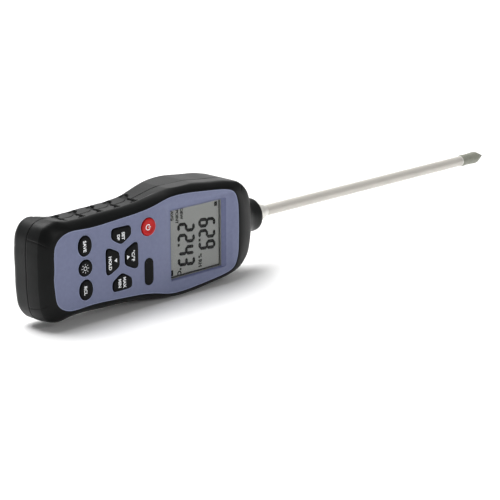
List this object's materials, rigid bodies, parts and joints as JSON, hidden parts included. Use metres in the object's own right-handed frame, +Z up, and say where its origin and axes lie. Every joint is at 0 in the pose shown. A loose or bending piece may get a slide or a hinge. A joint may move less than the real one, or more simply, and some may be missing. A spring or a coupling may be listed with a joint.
{
  "type": "humidity and temperature probe meter",
  "caption": "Hand-held temperature, humidity and dew-point meter with a display, a keypad and a rigid rod probe under a porous cap.",
  "frame": {"origin": "centre of the whole object's footprint, on the surface it stands on", "axes": "+X along the probe towards its tip, the display faces -Y, +Z up across the width: the meter stands on its side edge"},
  "size_m": [0.48, 0.044, 0.075],
  "materials": {
    "shell_black": "satin moulded skin",
    "steel_dark": "zinc plated",
    "brass_insert": "turned",
    "panel_blue": "fine satin",
    "capsule_black": "gloss",
    "window_clear": "clear",
    "lcd_grey": "polarised grey",
    "backlight_white": "milky",
    "zebra_rubber": "layered",
    "frame_black": "matte",
    "mat_rubber": "silicone",
    "board_green": "solder mask",
    "chip_black": "matte",
    "chip_tan": "fired",
    "can_steel": "drawn",
    "socket_cream": "natural nylon",
    "cell_jacket": "printed jacket, plain",
    "nickel": "nickel plated",
    "lead_red": "soft jacket",
    "cover_black": "satin",
    "collar_black": "satin",
    "nut_brass": "nickel plated",
    "tube_steel": "ground stainless",
    "seal_rubber": "moulded",
    "sintered_metal": "sintered, porous",
    "sensor_white": "polymer film",
    "cable_black": "soft jacket",
    "key_black": "satin gloss",
    "key_red": "gloss"
  },
  "bodies": {
    "case": {"front_shell": "shell_black", "rear_shell": "shell_black", "case_screws": "steel_dark", "tripod_insert": "brass_insert", "face_panel": "panel_blue", "name_capsule": "capsule_black", "display_window": "window_clear", "lcd_glass": "lcd_grey", "backlight_panel": "backlight_white", "zebra_strips": "zebra_rubber", "lcd_frame": "frame_black", "keypad_mat": "mat_rubber", "main_board": "board_green", "board_screws": "steel_dark", "microcontroller": "chip_black", "board_parts": "chip_tan", "crystal_can": "can_steel", "buzzer": "chip_black", "cable_socket": "socket_cream", "battery_tray": "frame_black", "battery_cells": "cell_jacket", "contact_plates": "nickel", "contact_springs": "nickel", "battery_leads": "lead_red", "cover_pin": "steel_dark", "probe_collar": "collar_black", "tube_nut": "nut_brass", "probe_tube": "tube_steel", "sensor_ferrule": "tube_steel", "sensor_board": "board_green", "humidity_sensor": "sensor_white", "sensor_cable": "cable_black"},
    "battery_cover": {"battery_cover": "cover_black"},
    "cap_ring": {"cap_seal": "seal_rubber"},
    "cap": {"filter_cap": "sintered_metal"},
    "key_save": {"key_save": "key_black"},
    "key_backlight": {"key_backlight": "key_black"},
    "key_recall": {"key_recall": "key_black"},
    "key_hold": {"key_hold": "key_black"},
    "key_unit": {"key_unit": "key_black"},
    "key_set": {"key_set": "key_black"},
    "key_max_min": {"key_max_min": "key_black"},
    "key_power": {"key_power": "key_red"}
  },
  "joints": [
    {"name": "save_press", "type": "slide", "parent": "case", "child": "key_save", "axis": [0, 1, 0], "range_m": [0, 0.0008], "stiffness_N_per_m": 600, "springref_m": -0.001},
    {"name": "backlight_press", "type": "slide", "parent": "case", "child": "key_backlight", "axis": [0, 1, 0], "range_m": [0, 0.0008], "stiffness_N_per_m": 600, "springref_m": -0.001},
    {"name": "recall_press", "type": "slide", "parent": "case", "child": "key_recall", "axis": [0, 1, 0], "range_m": [0, 0.0008], "stiffness_N_per_m": 600, "springref_m": -0.001},
    {"name": "hold_press", "type": "slide", "parent": "case", "child": "key_hold", "axis": [0, 1, 0], "range_m": [0, 0.0008], "stiffness_N_per_m": 600, "springref_m": -0.001},
    {"name": "unit_press", "type": "slide", "parent": "case", "child": "key_unit", "axis": [0, 1, 0], "range_m": [0, 0.0008], "stiffness_N_per_m": 600, "springref_m": -0.001},
    {"name": "set_press", "type": "slide", "parent": "case", "child": "key_set", "axis": [0, 1, 0], "range_m": [0, 0.0008], "stiffness_N_per_m": 600, "springref_m": -0.001},
    {"name": "max_min_press", "type": "slide", "parent": "case", "child": "key_max_min", "axis": [0, 1, 0], "range_m": [0, 0.0008], "stiffness_N_per_m": 600, "springref_m": -0.001},
    {"name": "power_press", "type": "slide", "parent": "case", "child": "key_power", "axis": [0, 1, 0], "range_m": [0, 0.0008], "stiffness_N_per_m": 600, "springref_m": -0.001},
    {"name": "cover_swing", "type": "hinge", "parent": "case", "child": "battery_cover", "pos_m": [-0.1576, 0.0099, 0.0375], "axis": [0, 0, -1], "range_deg": [0, 95]},
    {"name": "filter_travel", "type": "slide", "parent": "case", "child": "cap_ring", "axis": [1, 0, 0], "range_m": [0, 0.0061]},
    {"name": "filter_turn", "type": "hinge", "parent": "cap_ring", "child": "cap", "pos_m": [0.222, 0, 0.0375], "axis": [1, 0, 0], "range_deg": [0, 2880]}
  ],
  "couplings": [
    {"joint": "filter_travel", "follows": "filter_turn", "m_per_rad": 0.00011937}
  ]
}
